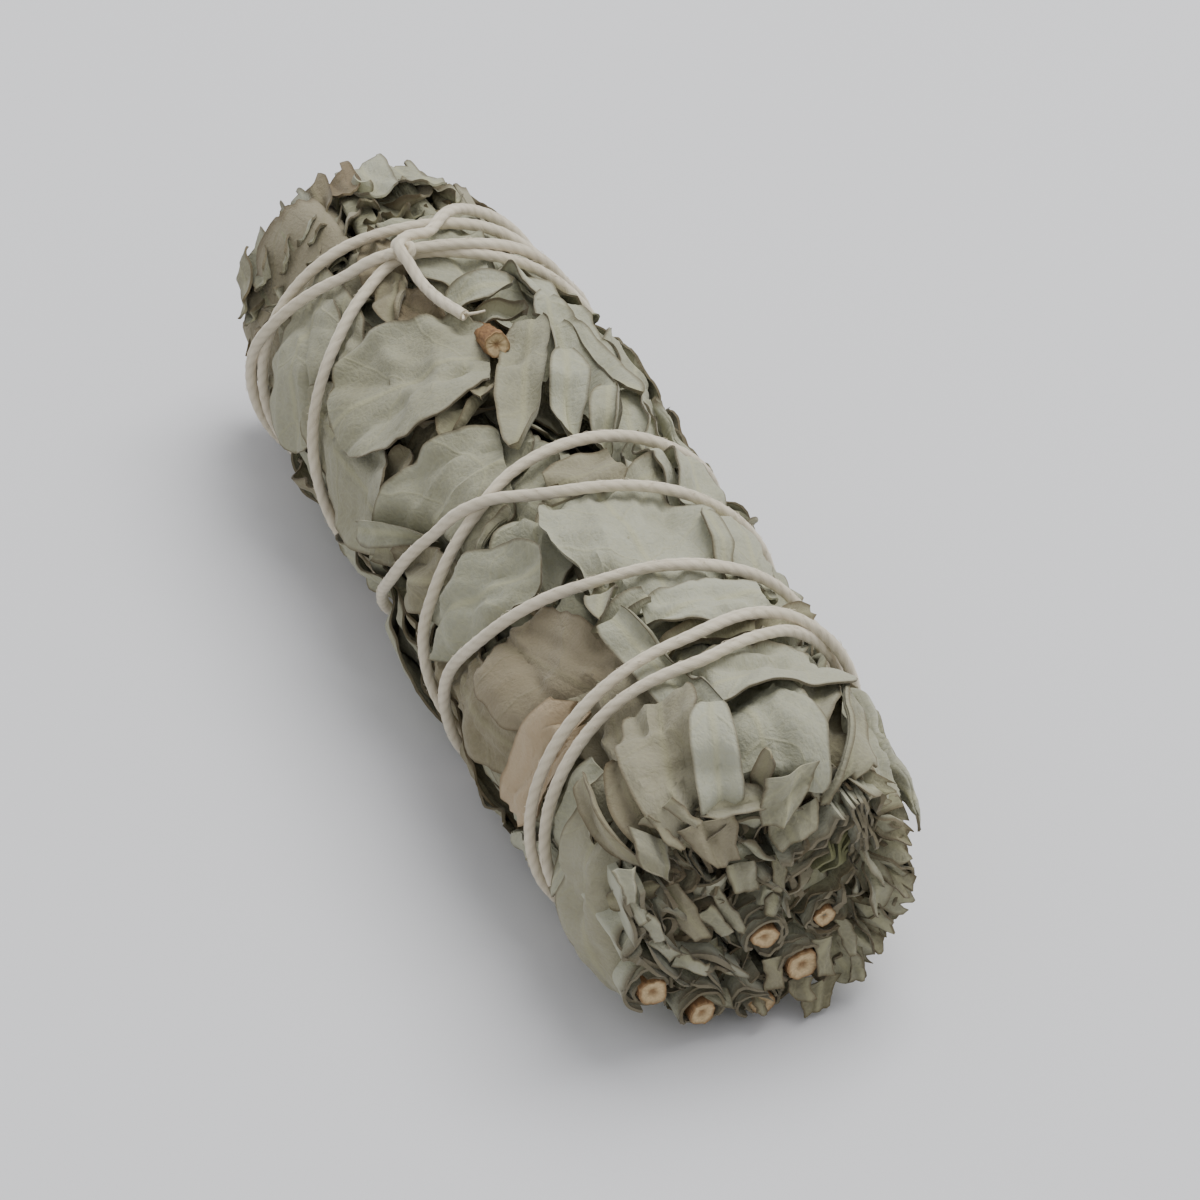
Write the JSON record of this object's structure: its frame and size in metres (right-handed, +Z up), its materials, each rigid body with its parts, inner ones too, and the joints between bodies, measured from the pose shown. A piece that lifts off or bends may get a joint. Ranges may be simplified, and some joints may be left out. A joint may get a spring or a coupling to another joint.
{
  "type": "dried sage bunch",
  "caption": "Dried sage bunch: pressed grey-green leaves and cut stems laid side by side into a thick stick, wound tight with undyed cotton string; lies on its side.",
  "frame": {"origin": "middle of the underside of the whole bunch's box, on the surface it lies on", "axes": "+X along the bunch towards the end with the cut stems, +Z up, +Y to the left when looking along +X"},
  "size_m": [0.123, 0.0416, 0.0384],
  "materials": {
    "sage_leaf": "matte, felted",
    "green_leaf": "matte",
    "tan_leaf": "matte",
    "stem": "matte",
    "string": "matte"
  },
  "bodies": {
    "root": {"leaves_top": "sage_leaf", "leaves_upper_right": "sage_leaf", "leaves_right": "sage_leaf", "leaves_under_right": "sage_leaf", "leaves_under": "sage_leaf", "leaves_under_left": "sage_leaf", "leaves_left": "sage_leaf", "leaves_middle": "sage_leaf", "leaves_green": "green_leaf", "leaf_tan": "tan_leaf", "stem_1": "stem", "stem_2": "stem", "stem_3": "stem", "stem_4": "stem", "stem_5": "stem", "stem_6": "stem", "stem_7": "stem", "stem_8": "stem", "twig": "stem", "string": "string"}
  },
  "joints": []
}
